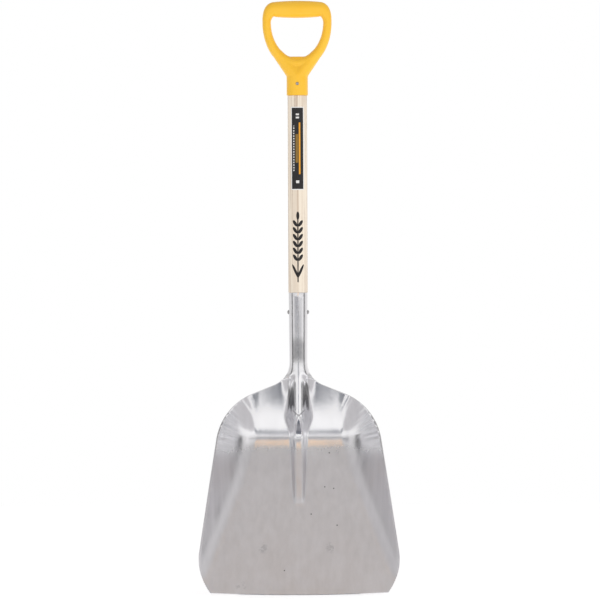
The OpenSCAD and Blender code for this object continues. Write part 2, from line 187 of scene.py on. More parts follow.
# %% Floor, cards and a lamp
FLOOR_GAP = 0.0005
FLOOR_SIZE = 12.0
PAPER_ROUGHNESS = 0.9
SQUARE, ROUND = 4, 48  # how many corners a card has
STAND_UP = (90, 0, 0)


def plain_material(name, color, glow=0.0):
    """A material for the studio's own sheets and cards."""
    material = bpy.data.materials.new(name)
    material.use_nodes = True
    shader = material.node_tree.nodes["Principled BSDF"]
    shader.inputs["Base Color"].default_value = (*color, 1)
    shader.inputs["Roughness"].default_value = PAPER_ROUGHNESS
    shader.inputs["Emission Color"].default_value = (*color, 1)
    shader.inputs["Emission Strength"].default_value = glow
    return material


bpy.ops.mesh.primitive_plane_add(size=FLOOR_SIZE, location=(0, 0, cad_low.z - FLOOR_GAP))
studio_floor = bpy.context.object
studio_floor.name = "studio_floor"
studio_floor.data.materials.append(plain_material("pale_floor_sheet", (0.97, 0.97, 0.97), 0.42))


def card(name, size, location, color, glow=0.0, turn=(0, 0, 0), shape=SQUARE):
    """A studio card that is only seen in reflections."""
    angle = math.radians(180 / shape)
    bpy.ops.mesh.primitive_circle_add(
        vertices=shape, radius=0.5 / math.cos(angle), fill_type="NGON", rotation=(0, 0, angle)
    )
    bpy.ops.object.transform_apply(rotation=True)
    sheet = bpy.context.object
    sheet.location = location
    sheet.rotation_euler = [math.radians(t) for t in turn]
    sheet.name = name
    sheet.scale = (*size, 1)
    sheet.data.materials.append(plain_material(name + "_paper", color, glow))
    sheet.visible_camera = False
    sheet.visible_shadow = False
    sheet.visible_diffuse = False


def soft_box(name, size, location, aim, watts):
    """A large rectangular lamp that faces a point, and isn't mirrored in the metal."""
    bpy.ops.object.light_add(type="AREA", location=location)
    lamp = bpy.context.object
    lamp.name = name
    lamp.data.shape = "RECTANGLE"
    lamp.data.size, lamp.data.size_y = size
    lamp.data.energy = watts
    lamp.visible_glossy = False
    lamp.rotation_euler = (Vector(aim) - Vector(location)).to_track_quat("-Z", "Y").to_euler()


def up_from_edge(height):
    """A height above the cutting edge, in metres in the frame."""
    return EDGE_Z * MM + height


def laid(name, size, x, y, color):
    """A round card on the floor."""
    card(name, size, (x, y, cad_low.z - FLOOR_GAP * 0.5), color, shape=ROUND)


def hung(name, size, x, y, height, color, glow=0.0, turn=STAND_UP):
    """A square card that hangs with its middle at a height above the cutting edge."""
    card(name, size, (x, y, up_from_edge(height)), color, glow, turn)


laid("near_card", (0.23, 0.4), 0, -0.1, (0.22, 0.24, 0.29))
hung("dark_strip", (2.6, 0.05), 0, -1.3, 0.455, (0.08, 0.085, 0.09))
hung("grey_strip", (2.6, 0.045), 0, -1.31, 0.5, (0.30, 0.31, 0.34))
hung("far_strip", (0.24, 0.36), 0, -3.2, 0.16, (0.52, 0.53, 0.57))
hung("left_strip", (1.2, 0.2), -0.75, -1.2, 0.60, (0.42, 0.42, 0.45))
for side in (-1, 1):  # cards that come in pairs
    laid("side_card", (0.9, 1.5), side * 0.62, -0.4, (0.86, 0.85, 0.87))
    laid("far_card", (0.40, 2.8), side * 0.22, -2.2, (0.28, 0.30, 0.35))
    hung("cool_strip", (0.09, 0.2), side * 0.06, -1.5, 0.63, (0.24, 0.26, 0.33))
    hung("warm_strip", (0.06, 0.6), side * 0.045, -1.5, 1.04, (0.66, 0.44, 0.24), 0.45)
    hung("warm_end", (0.034, 0.76), side * 0.082, -1.5, 1.12, (0.95, 0.56, 0.25), 1.0)
    hung("dark_wing", (0.36, 0.8), side * 1.55, -0.34, 0.6, (0.03, 0.03, 0.035), 0, (90, 0, side * 79))
soft_box("key_box", (0.5, 0.9), (1.25, -1.9, up_from_edge(1.25)), (0, 0, up_from_edge(0.6)), 7)
bpy.ops.object.select_all(action="DESELECT")
print("studio ready, with", sum(piece.name.endswith("_paper") for piece in bpy.data.materials), "papers")

# %% [markdown]
# ## Shader maths in plain Python
# A finish is a sum of patterns: a zone, a streak, a pit. `Number` wraps one value that changes over a
# surface, so that such a sum is written as an expression, and each operator adds its Math node. `Finish`
# holds one material and makes every other node.


# %% Number and Finish
class Number:
    """A value that changes over a surface."""

    def __init__(self, finish, socket):
        self.finish = finish
        self.socket = socket

    def math(self, operation, *others):
        inputs = dict(enumerate((self, *others)))
        return self.finish.node("ShaderNodeMath", {"operation": operation}, inputs)

    def __add__(self, other):
        return self.math("ADD", other)

    def __sub__(self, other):
        return self.math("SUBTRACT", other)

    def __mul__(self, other):
        return self.math("MULTIPLY", other)

    def __truediv__(self, other):
        return self.math("DIVIDE", other)

    def __rsub__(self, other):
        return (self * -1) + other

    def __mod__(self, other):
        return self.math("FLOORED_MODULO", other)

    __radd__ = __add__
    __rmul__ = __mul__

    def absolute(self):
        return self.math("ABSOLUTE")

    def most(self, other):
        return self.math("MAXIMUM", other)

    def least(self, other):
        return self.math("MINIMUM", other)

    def step(self, start, end):
        """0 at start and 1 at end, smooth between them, whichever is larger."""
        settings = {"interpolation_type": "SMOOTHSTEP"}
        low, high = min(start, end), max(start, end)
        inputs = {"Value": self, "From Min": low, "From Max": high}
        rise = self.finish.node("ShaderNodeMapRange", settings, inputs)
        return rise if start < end else 1 - rise

    def within(self, low, high, edge):
        """1 between low and high, and 0 outside them, past a soft edge."""
        return self.step(low - edge, low) * self.step(high + edge, high)


class Finish:
    """One material: a Principled shader, and the nodes that feed it."""

    def __init__(self, name, **constants):
        self.material = bpy.data.materials.new(name)
        self.material.use_nodes = True
        self.nodes = self.material.node_tree.nodes
        self.links = self.material.node_tree.links
        self.shader = self.nodes["Principled BSDF"]
        for socket, value in constants.items():
            socket_name = socket.replace("_", " ").title().replace("Ior", "IOR")
            self.shader.inputs[socket_name].default_value = value
        self.spot = self.node("ShaderNodeTexCoord", {}, {}, "Object")
        parts = self.node("ShaderNodeSeparateXYZ", {}, {0: self.spot}).socket.node.outputs
        self.across, self.back = (Number(self, parts[axis]) / MM for axis in ("X", "Y"))
        self.up = Number(self, parts["Z"]) / MM - EDGE_Z

    def node(self, kind, settings, inputs, output=0):
        """Adds a node, sets it up, then fills its sockets with values or links."""
        new = self.nodes.new(kind)
        for name, value in settings.items():
            setattr(new, name, value)
        for name, value in inputs.items():
            if isinstance(value, Number):
                self.links.new(value.socket, new.inputs[name])
            else:
                new.inputs[name].default_value = value
        return Number(self, new.outputs[output])

    def noise(self, scale, detail=2.0, stretch=(1, 1, 1), seed=0.0):
        """Noise between 0 and 1, about `scale` blobs to the metre along an axis that isn't stretched."""
        mapping = {"Vector": self.spot, "Scale": stretch, "Location": (seed,) * 3}
        spot = self.node("ShaderNodeMapping", {}, mapping)
        inputs = {"Vector": spot, "Scale": scale, "Detail": detail}
        return self.node("ShaderNodeTexNoise", {}, inputs)

    def blend(self, amount, first, second):
        """A colour between two colours."""
        inputs = {0: amount, 6: self.rgba(first), 7: self.rgba(second)}
        return self.node("ShaderNodeMix", {"data_type": "RGBA"}, inputs, 2)

    @staticmethod
    def rgba(color):
        return color if isinstance(color, Number) else (*color, 1)

    def tint(self, color, shade):
        """A colour made lighter or darker by a number."""
        grey = self.node("ShaderNodeCombineXYZ", {}, {0: shade, 1: shade, 2: shade})
        vector = color if isinstance(color, Number) else tuple(color)
        return self.node("ShaderNodeVectorMath", {"operation": "MULTIPLY"}, {0: vector, 1: grey})

    def feed(self, socket, value):
        self.links.new(value.socket, self.shader.inputs[socket])

    def bump(self, height, depth):
        """Feeds the normal with a relief of about `depth` metres."""
        inputs = {"Height": height, "Distance": depth, "Strength": 1.0}
        self.feed("Normal", self.node("ShaderNodeBump", {}, inputs))


print("shader helpers ready")

# %% [markdown]
# ## Helpers for modelling
# A primitive is added, its points are carried to their places, and modifiers finish it. Every piece then
# rides on the shovel's one body, takes its own finish and hides the CAD solid that it stands for.


# %% Modelling helpers
def clamp01(value):
    return min(1.0, max(0.0, value))


def smooth(value):
    value = clamp01(value)
    return value * value * (3 - 2 * value)


def mix(first, second, share):
    return first + (second - first) * share


def only(piece):
    """Selects one piece and nothing else."""
    bpy.ops.object.select_all(action="DESELECT")
    piece.select_set(True)
    bpy.context.view_layer.objects.active = piece


def modify(piece, kind, **settings):
    """Adds a modifier and applies it."""
    only(piece)
    modifier = piece.modifiers.new(kind.title(), kind)
    for name, value in settings.items():
        setattr(modifier, name, value)
    bpy.ops.object.modifier_apply(modifier=modifier.name)


def grid(name, columns, rows, shape):
    """A grid of columns by rows cells, each point carried to shape(u, v), with u and v from 0 to 1."""
    bpy.ops.mesh.primitive_grid_add(x_subdivisions=columns, y_subdivisions=rows, size=1)
    piece = bpy.context.object
    piece.name = name
    for vertex in piece.data.vertices:
        vertex.co = shape(vertex.co.x + 0.5, vertex.co.y + 0.5)
    return piece


def finish_piece(piece, cad_node, finish, smooth_angle=35):
    """The last steps that every piece shares."""
    only(piece)
    bpy.ops.object.transform_apply(location=True, rotation=True, scale=True)
    bpy.ops.object.shade_smooth_by_angle(angle=math.radians(smooth_angle))
    piece.data.materials.clear()
    piece.data.materials.append(finish.material)
    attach(piece, "root")
    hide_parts(cad_node)
    bpy.ops.object.select_all(action="DESELECT")
    print(f"{piece.name}: {len(piece.data.polygons)} faces")


# %% [markdown]
# ## The rim of the pan
# Seen from the front, the rim is a chain of arcs and straight lines that touch without a kink: a front
# corner, a side, a shoulder, a brow and the hollow of the neck. It is walked from the cutting edge to the
# socket's mouth, and each step along it becomes one row of the sheet. A heading is an angle inwards from
# straight up.

# %% Rim
EDGE_BOW = 3.8  # how far the middle of the cutting edge is in front of its ends
SOCKET_R, SOCKET_FLARE = 17.2, 1.1  # at the neck, and how much it grows up to the mouth
NECK_Z = 438
HALF_W = 189.0
FRONT_CORNER_R, SHOULDER_R, NECK_R = 104, 110, 48
START_HEADING, SIDE_HEADING, BROW_HEADING = (math.radians(a) for a in (-37, 8.8, 68))


def arc_move(radius, start, end):
    """Where an arc leads that turns from one heading to another."""
    side = math.copysign(radius, end - start)
    return Vector((-side * (math.cos(start) - math.cos(end)), side * (math.sin(end) - math.sin(start))))


def straight(length, heading):
    return Vector((-math.sin(heading), math.cos(heading))) * length


rim_start = Vector((HALF_W - FRONT_CORNER_R * (1 - math.cos(START_HEADING)), EDGE_BOW))
turns = (
    (FRONT_CORNER_R, START_HEADING, SIDE_HEADING),
    (SHOULDER_R, SIDE_HEADING, BROW_HEADING),
    (NECK_R, BROW_HEADING, 0),
)
arcs_lead = sum((arc_move(*turn) for turn in turns), Vector((0, 0)))
left_over = Vector((SOCKET_R, NECK_Z)) - rim_start - arcs_lead
cross = math.sin(BROW_HEADING - SIDE_HEADING)
side_length = (left_over.x * math.cos(BROW_HEADING) + left_over.y * math.sin(BROW_HEADING)) / cross
brow_length = (-math.sin(SIDE_HEADING) * left_over.y - math.cos(SIDE_HEADING) * left_over.x) / cross


def walk(start, move, steps):
    """Points along a stretch of rim, where move(share) is how far that share of it leads."""
    return [start + move(i / steps) for i in range(1, steps + 1)]


def along_arc(radius, start, end):
    """Gives back the move that follows an arc."""
    return lambda share: arc_move(radius, start, mix(start, end, share))


CORNER_ROWS, SIDE_ROWS, SHOULDER_ROWS, BROW_ROWS, NECK_ROWS, SOCKET_ROWS = 26, 44, 46, 12, 34, 14
corner_turn, shoulder_turn, neck_turn = turns
rim = [rim_start]
for steps, move in (
    (CORNER_ROWS, along_arc(*corner_turn)),
    (SIDE_ROWS, lambda share: straight(side_length * share, SIDE_HEADING)),
    (SHOULDER_ROWS, along_arc(*shoulder_turn)),
    (BROW_ROWS, lambda share: straight(brow_length * share, BROW_HEADING)),
    (NECK_ROWS, along_arc(*neck_turn)),
    (SOCKET_ROWS, lambda share: Vector((SOCKET_FLARE, MOUTH_Z - NECK_Z)) * share),
):
    rim += walk(rim[-1], move, steps)
side_end = rim[CORNER_ROWS + SIDE_ROWS]
CURL_START = rim[CORNER_ROWS + SIDE_ROWS + SHOULDER_ROWS + BROW_ROWS].y  # the sheet curls back above this
print(f"rim: side {side_length:.0f} mm, brow {brow_length:.0f} mm, {len(rim)} rows")

# %% [markdown]
# ## The pressed surface
# A press pushes a flat sheet into a dish: a flat floor that slopes at the lift angle, side walls that
# turn up from two folds, and a back wall, with a valley where the wall runs into the neck. The dish is
# written as a height forward of the handle's axis, because one height for each place is what a press can
# make.

# %% Dish
LIFT_SLOPE = math.tan(math.radians(24.5))
FLOOR_CROSS_Z, HEEL_Z = 225, 272  # where the floor crosses the handle's axis, and where it turns up
FOLD_INSET, FOLD_TAPER, FOLD_TURN = 5.4, 0.4, 80
VALLEY_DEPTH, VALLEY_FROM, VALLEY_HALF_W = 20, 345, 36
WALL_SLOPE, WALL_FILLET_R, BACK_SOFTNESS = 1.5, 32, 0.76


def flare(run, slope, radius):
    """A rise that starts flat, rounds up on a radius and steepens towards a slope."""
    c = radius * slope * slope
    return math.hypot(slope * run, c) - c


def soft_most(first, second, size):
    h = max(size - abs(first - second), 0) / size
    return max(first, second) + h * h * size / 4


def dish(x, z):
    fold = HALF_W - FOLD_INSET + FOLD_TAPER * soft_most(-z, -HEEL_Z, FOLD_TURN)
    out = max(0, abs(x) - max(0, fold))
    up = BACK_SOFTNESS * max(0, z - HEEL_Z)
    near_neck = smooth((z - VALLEY_FROM) / (NECK_Z - VALLEY_FROM))
    valley = VALLEY_DEPTH * near_neck * (1 - smooth(abs(x) / VALLEY_HALF_W))
    floor = (FLOOR_CROSS_Z - z) * LIFT_SLOPE
    return floor + flare(math.hypot(out, up), WALL_SLOPE, WALL_FILLET_R) - valley


print(f"dish is {dish(0, 0):.0f} mm forward at the cutting edge")

# %% [markdown]
# ## The rib
# A rib runs up the middle, high where the handle's tip lies in it and low below a step. It is a height
# too, and the higher of the rib and the dish wins, with a soft corner between them.

# %% Rib
RIB_STEP_Z, RIB_STEP_RUN, RIB_END_Z = 340, 45, 172
RIB_CLOSING, RIB_TOP_R, RIB_SLOPE, RIB_NECK_SLOPE = 6, 6, 2.1, 1.1
RIB_LOW_H, RIB_LOW_FLAT, RIB_LOW_R, RIB_LOW_SLOPE = 18, 5, 3, 3.5
RIB_BLEND, RIB_LOW_BLEND = 8, 3


def socket_outer_r(z):
    return SOCKET_R + SOCKET_FLARE * clamp01((z - NECK_Z) / (MOUTH_Z - NECK_Z))


def high_crest(z):
    return socket_outer_r(z) - RIB_CLOSING * clamp01((NECK_Z - z) / (NECK_Z - RIB_STEP_Z))


def low_crest(z):
    share = clamp01((z - RIB_END_Z) / (RIB_STEP_Z - RIB_END_Z))
    sunk = RIB_LOW_H * clamp01((RIB_END_Z - z) / RIB_LOW_BLEND)
    return dish(0, z) + RIB_LOW_H * math.sqrt(share) - sunk


def pressed(x, z):
    above = smooth(1 + (z - RIB_STEP_Z) / RIB_STEP_RUN)
    run = max(0, abs(x) - mix(RIB_LOW_FLAT, 0, above))
    high_slope = mix(RIB_SLOPE, RIB_NECK_SLOPE, clamp01((z - RIB_STEP_Z) / (NECK_Z - RIB_STEP_Z)))
    flank = flare(run, mix(RIB_LOW_SLOPE, high_slope, above), mix(RIB_LOW_R, RIB_TOP_R, above))
    rib = mix(low_crest(z), high_crest(z), above) - flank
    return soft_most(dish(x, z), rib, mix(RIB_LOW_BLEND, RIB_BLEND, above))


print(f"rib stands {high_crest(NECK_Z):.0f} mm forward at the neck")

# %% [markdown]
# ## Press wrinkles
# Real pressings wrinkle at the back corners, where the sheet has to shrink. That is added as ripples
# which fan out from the centre of each shoulder, with noise to make them uneven.

# %% Wrinkles
corner_centre = side_end - Vector((math.cos(SIDE_HEADING), math.sin(SIDE_HEADING))) * SHOULDER_R
WRINKLE_DEPTH = 0.5
WRINKLE_RATE = 62  # how fast the wave runs round the shoulder, in radians to the radian
WRINKLES_FROM, WRINKLES_TO, WRINKLE_FADE = -0.12, 1.32, 0.35  # round the shoulder, in radians
RIM_FROM, RIM_FADE = 0.52, 0.45  # as shares of the shoulder's radius


def wrinkles(x, z):
    """Ripples that fan out from the centre of a shoulder and are deepest at its rim."""
    spoke = Vector((abs(x), z)) - corner_centre
    angle = math.atan2(spoke.y, spoke.x)
    at_start = smooth((angle - WRINKLES_FROM) / WRINKLE_FADE)
    at_end = smooth((WRINKLES_TO - angle) / WRINKLE_FADE)
    at_rim = smooth((spoke.length - RIM_FROM * SHOULDER_R) / (RIM_FADE * SHOULDER_R))
    uneven = noise.noise(Vector((angle * 7, math.copysign(3, x), 0.5)))
    wave = math.sin(WRINKLE_RATE * angle + 3 * uneven)
    return WRINKLE_DEPTH * at_start * at_end * at_rim * wave * (0.5 + 1.3 * uneven)


print(f"the shoulders turn about a centre {corner_centre.x:.0f} mm out")

# %% [markdown]
# ## The pan as one sheet
# The grid's rows follow the rim. Up to the neck a row lies in the dish. Above it the row is rolled, by an
# angle that grows until its edges nearly meet at the back, so the socket and the pan are one sheet, as on
# the real tool. Solidify then gives the sheet its thickness behind the worked face, and Bevel breaks its
# cut edge.

# %% Sheet
SHEET_T = 1.8
SOCKET_WRAP = math.radians(172)
MIDDLE_CROWDING, CROWDING_FADE = 0.36, 60  # columns crowd towards the rib, until the sheet curls
BOW_FADES_AT, ROLL_TAKES_OVER = 60, 0.6
ALWAYS_CURVED = 0.001  # a flat row is rolled by a trace, so that its radius is finite
COLUMNS = 128
FLOOR_ROW = 20  # a row that lies in the floor


def sheet_point(u, v):
    edge = rim[round(v * (len(rim) - 1))]
    u = 2 * u - 1
    curl = smooth((edge.y - CURL_START) / (NECK_Z - CURL_START))
    even = mix(MIDDLE_CROWDING, 1, smooth((edge.y - CURL_START + CROWDING_FADE) / CROWDING_FADE))
    across = math.copysign(even * abs(u) + (1 - even) * u * u, u)
    z = edge.y - EDGE_BOW * (1 - smooth(edge.y / BOW_FADES_AT)) * (1 - across * across)
    wrap = SOCKET_WRAP * max(curl, ALWAYS_CURVED)
    roll_r = edge.x / math.sin(min(math.pi / 2, wrap))
    x = roll_r * math.sin(wrap * across)
    rolled = high_crest(z) - roll_r * (1 - math.cos(wrap * across))
    return place(x, mix(pressed(x, z) + wrinkles(x, z), rolled, smooth(curl / ROLL_TAKES_OVER)), z)


pan = grid("pan_and_socket", COLUMNS, len(rim) - 1, sheet_point)
middle_face = pan.data.polygons[COLUMNS * FLOOR_ROW + COLUMNS // 2]
print("the floor faces", tuple(round(part, 2) for part in middle_face.normal))
modify(pan, "SOLIDIFY", thickness=SHEET_T * MM, offset=-1, use_even_offset=True)
EDGE_BREAK = 0.35
modify(
    pan,
    "BEVEL",
    width=EDGE_BREAK * MM,
    segments=2,
    limit_method="ANGLE",
    angle_limit=math.radians(60),
)

# %% [markdown]
# ## Lathe work
# The handle and the rivets are round about one axis. A lathe shapes such a piece station by station, and
# so does `turned`: it starts from a disc, extrudes it to the next station and scales it to the radius
# there. An extruded disc keeps its first face, so both ends are closed.

# %% Turning on a lathe
ON_AXIS = 0.25  # the small flat that closes a domed end
DRILL_SIDES, RIVET_SIDES, HANDLE_SIDES = 48, 40, 96
ALONG = {"X": (0, math.radians(90), 0), "Y": (math.radians(90), 0, 0), "Z": (0, 0, 0)}


def turned(name, stations, sides):
    """A piece turned about Z, from (radius, height) stations in mm."""
    radius, height = stations[0]
    bpy.ops.mesh.primitive_circle_add(
        vertices=sides, radius=radius * MM, location=(0, 0, height * MM), fill_type="NGON"
    )
    piece = bpy.context.object
    piece.name = name
    bpy.ops.object.transform_apply(location=True)
    bpy.ops.object.mode_set(mode="EDIT")
    for next_radius, next_height in stations[1:]:
        rise = {"value": (0, 0, (next_height - height) * MM)}
        bpy.ops.mesh.extrude_region_move(TRANSFORM_OT_translate=rise)
        share = next_radius / radius
        bpy.ops.transform.resize(value=(share, share, 1), center_override=(0, 0, next_height * MM))
        radius, height = next_radius, next_height
    bpy.ops.mesh.select_all(action="SELECT")
    bpy.ops.mesh.normals_make_consistent(inside=False)
    bpy.ops.object.mode_set(mode="OBJECT")
    return piece


def cut(piece, tool):
    """Takes the tool's volume out of a piece, and throws the tool away."""
    modify(piece, "BOOLEAN", operation="DIFFERENCE", object=tool, solver="EXACT")
    bpy.data.objects.remove(tool)


def drill(name, radius, low, high, axis="Z", height=0.0):
    """A drill bit from low to high along an axis, in mm."""
    bit = turned(name, [(radius, low), (radius, high)], DRILL_SIDES)
    bit.rotation_euler = ALONG[axis]
    bit.location = (0, 0, height * MM)
    return bit


print("lathe ready")

# %% [markdown]
# ## The handle
# A lathe makes the handle from one stick of ash: a bare round length for the hands, an upper end turned
# down for the grip, a shoulder that stops at the socket's mouth, a thinner tenon that follows the
# socket's taper, and a long point whose tip lies in the rib.

# %% Handle
CLEARANCE = 0.2
TENON_R = SOCKET_R - SHEET_T - CLEARANCE
TENON_TOP_R = TENON_R + SOCKET_FLARE
TIP_R = 6
END_R = HANDLE_R - 1.4  # turned down where it goes into the grip
TAPER_FROM = NECK_Z + 10
TIP_ROUND, EDGE_ROUND, END_ROUND = 2, 0.5, 1
tip_z = handle_low.z
shoulder_z = EDGE_Z + MOUTH_Z + CLEARANCE
handle = turned(
    "turned_ash_handle",
    [
        (TIP_R - TIP_ROUND, tip_z),
        (TIP_R, tip_z + TIP_ROUND),
        (TENON_R, EDGE_Z + TAPER_FROM),
        (TENON_TOP_R, EDGE_Z + MOUTH_Z),
        (TENON_TOP_R, shoulder_z),
        (HANDLE_R - EDGE_ROUND, shoulder_z),
        (HANDLE_R, shoulder_z + EDGE_ROUND),
        (HANDLE_R, grip_low.z - CLEARANCE - EDGE_ROUND),
        (HANDLE_R - EDGE_ROUND, grip_low.z - CLEARANCE),
        (END_R, grip_low.z - CLEARANCE),
        (END_R, handle_high.z - END_ROUND),
        (END_R - END_ROUND, handle_high.z),
    ],
    HANDLE_SIDES,
)
rivet_low, rivet_high = (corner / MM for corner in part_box("socket_rivet"))
pin_low, pin_high = (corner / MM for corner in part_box("grip_rivet"))
RIVET_Z = (rivet_low.z + rivet_high.z) / 2
PIN_Z = (pin_low.z + pin_high.z) / 2
RIVET_SHANK_R, PIN_SHANK_R, HOLE_GAP = 3, 2.1, 0.1
THROUGH = 30  # past both sides of the handle, the socket and the grip
for piece in (handle, pan):
    cut(piece, drill("drill", RIVET_SHANK_R + HOLE_GAP, -THROUGH, THROUGH, "X", RIVET_Z))
cut(handle, drill("drill", PIN_SHANK_R + HOLE_GAP, -THROUGH, THROUGH, "Y", PIN_Z))
print(f"handle {handle_high.z - handle_low.z:.0f} mm long, rivet hole at {RIVET_Z - EDGE_Z:.0f} mm")

# %% [markdown]
# ## Rivets
# A rivet is a plain pin until its ends are hammered over into domes. The big one goes through the socket
# and the tenon from side to side. The small one goes through the grip from front to back, and sits in
# counterbores.

# %% Rivets
DOME_STATIONS = 6


def rivet(name, shank_r, head_r, head_height, span):
    """A pin with a domed head at each end, span apart under the heads."""
    dome_r = (head_r ** 2 + head_height ** 2) / (2 * head_height)
    rises = [head_height * i / DOME_STATIONS for i in range(DOME_STATIONS)]
    dome = [(math.sqrt(dome_r ** 2 - (dome_r - head_height + rise) ** 2), rise) for rise in rises]
    half = [(shank_r, 0)] + dome + [(ON_AXIS, head_height)]
    low_half = [(radius, -span / 2 - rise) for radius, rise in reversed(half)]
    high_half = [(radius, span / 2 + rise) for radius, rise in half]
    return turned(name, low_half + high_half, RIVET_SIDES)


HEAD_R = (rivet_high.z - rivet_low.z) / 2
PIN_HEAD_R = (pin_high.z - pin_low.z) / 2
PIN_HEAD_HEIGHT = 1.0
head_from = socket_outer_r(RIVET_Z - EDGE_Z + HEAD_R)
socket_rivet = rivet("socket_rivet_pin", RIVET_SHANK_R, HEAD_R, rivet_high.x - head_from, 2 * head_from)
socket_rivet.rotation_euler = ALONG["X"]
socket_rivet.location = (0, 0, RIVET_Z * MM)
COUNTERBORE_FROM = pin_high.y - PIN_HEAD_HEIGHT
grip_rivet = rivet("grip_rivet_pin", PIN_SHANK_R, PIN_HEAD_R, PIN_HEAD_HEIGHT, 2 * COUNTERBORE_FROM)
grip_rivet.rotation_euler = ALONG["Y"]
grip_rivet.location = (0, 0, PIN_Z * MM)
print(f"heads {2 * HEAD_R:.1f} mm and {2 * PIN_HEAD_R:.1f} mm across")

# %% [markdown]
# ## The D-grip
# The real grip is one moulding, so its arms, crossbar and sleeve flow into each other. Its CAD solid has
# the right outline, but with creases where its parts meet. A copy of it has its bore filled, is turned
# into a fine even skin by a voxel remesh, and is smoothed, which rounds the creases as a mould's fillets
# do. What must stay sharp is cut last: the end of the sleeve, the bore for the handle and the
# counterbores for the rivet.

# %% Grip
SLEEVE_WALL, SLEEVE_TRIM = 3.1, 4
SLEEVE_R = END_R + CLEARANCE + SLEEVE_WALL
SLEEVE_FULL_TO, CORE_TIP_R = 38, 12  # the core fills the sleeve, then narrows inside the web
COUNTERBORE_GAP = 0.3
VOXEL, SMOOTHING_STEPS = 0.95, 18
grip = bpy.data.objects.new("moulded_d_grip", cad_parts["d_grip"].data.copy())
bpy.context.scene.collection.objects.link(grip)
modify(grip, "WELD", merge_threshold=0.01 * MM)
core_stations = [
    (SLEEVE_R, grip_low.z - SLEEVE_TRIM),
    (SLEEVE_R, grip_low.z + SLEEVE_FULL_TO),
    (CORE_TIP_R, handle_high.z),
]
core = turned("core", core_stations, HANDLE_SIDES)
modify(grip, "BOOLEAN", operation="UNION", object=core, solver="EXACT")
bpy.data.objects.remove(core)
modify(grip, "REMESH", mode="VOXEL", voxel_size=VOXEL * MM)
modify(grip, "SMOOTH", factor=0.5, iterations=SMOOTHING_STEPS)
only(grip)
bpy.ops.object.mode_set(mode="EDIT")
bpy.ops.mesh.select_all(action="SELECT")
bpy.ops.mesh.bisect(plane_co=(0, 0, grip_low.z * MM), plane_no=(0, 0, 1), use_fill=True, clear_inner=True)
bpy.ops.object.mode_set(mode="OBJECT")
cut(grip, drill("reamer", END_R + CLEARANCE, grip_low.z - SLEEVE_TRIM, handle_high.z + CLEARANCE))
cut(grip, drill("drill", PIN_SHANK_R + HOLE_GAP, -THROUGH, THROUGH, "Y", PIN_Z))
for low, high in ((COUNTERBORE_FROM, THROUGH), (-THROUGH, -COUNTERBORE_FROM)):
    cut(grip, drill("counterbore", PIN_HEAD_R + COUNTERBORE_GAP, low, high, "Y", PIN_Z))
print(f"grip skin has {len(grip.data.polygons)} faces")

# %% [markdown]
# ## The label
# A printed film is stuck round the front of the handle. It is a strip of grid, carried round the wood and
# given the film's thickness.

# %% Label
LABEL_R = -label_low.y
LABEL_HALF_ANGLE = math.asin(label_high.x / LABEL_R)
LABEL_L = label_high.z - label_low.z
FILM_SHARE = 0.9  # the film stops just short of the wood
LABEL_COLUMNS, LABEL_ROWS = 28, 60


def label_point(u, v):
    angle = (2 * u - 1) * LABEL_HALF_ANGLE
    up = mix(label_low.z, label_high.z, v)
    return Vector((LABEL_R * math.sin(angle), -LABEL_R * math.cos(angle), up)) * MM


label = grid("label_film", LABEL_COLUMNS, LABEL_ROWS, label_point)
modify(label, "SOLIDIFY", thickness=(LABEL_R - HANDLE_R) * MM * FILM_SHARE, offset=-1)
print(f"label {LABEL_L:.0f} mm long, half angle {math.degrees(LABEL_HALF_ANGLE):.0f} degrees")

# %% [markdown]
# ## Finish: pressed aluminium
# The sheet is bright from the mill. The press and the buffing wheel polish the socket, the neck and the
# back wall, where the metal was drawn hardest, while the floor keeps a satin skin with faint streaks
# along the rolling direction. Roughness carries most of this, because bare metal has hardly any colour of
# its own.

# %% Aluminium
aluminium = Finish("pressed_aluminium", metallic=1.0)
across, back, up = aluminium.across, aluminium.back, aluminium.up
drift = aluminium.noise(14, 3, (1, 1, 0.5), 4.0)
streaks = aluminium.noise(95, 4, (1, 1, 0.045), 7.0)
fine_streaks = aluminium.noise(900, 3, (1, 1, 0.02), 2.0)
polished = (up + (drift - 0.5) * 50).step(240, 300)
print("the sheet is polished from about 270 mm up")

# %% [markdown]
# ## Marks, painted shade and painted reflections on the aluminium
# Handling leaves pits and dull smudges. A crease shows where the neck folds into the rib, and its dark
# line is painted shade. The dark bands on the flanks of the rib and across the front of the neck are
# painted reflections. Each mark is a mask, 1 on the mark and 0 off it, and the finish is the sum of them.

# %% Aluminium marks, painted shade and painted reflections
PITS = ((58, 265), (49, 201), (66, 198), (23, 150), (72, 129), (-28, 45))
PIT_R = 1.1
SMUDGES = ((-68, 87), (59, 87), (-110, 17))
SMUDGE_R = 10


def spots(finish, places, radius, softness):
    """1 on round spots, given as (across, up) places."""
    total = None
    for x, z in places:
        run, rise = finish.across - x, finish.up - z
        spot = (run * run + rise * rise).step((radius * softness) ** 2, (radius * 0.5) ** 2)
        total = spot if total is None else total.most(spot)
    return total


pits = spots(aluminium, PITS, PIT_R, 1.4)
smudges = spots(aluminium, SMUDGES, SMUDGE_R, 1.2) * aluminium.noise(160, 3, seed=1.0).step(0.45, 0.6)
# the crease is a real dent in the bump; its darkening of the colour below is painted shade
CREASE_Z, CREASE_RISE = 336, 0.92
crease_line = (up - CREASE_Z - across.absolute() * CREASE_RISE).absolute()
crease = crease_line.step(1.4, 0.2) * across.absolute().step(13, 11) * back.step(0, -3)
# painted reflection: a dark band on the flanks of the rib, darkened into the colour
flank = across.absolute().within(9, 18, 4) * (up + (streaks - 0.5) * 60).within(358, 390, 14)
# painted reflection: a dark band across the front of the neck, darkened into the colour
neck = across.absolute().step(14, 9) * (up + (drift - 0.5) * 30).within(446, 470, 22)

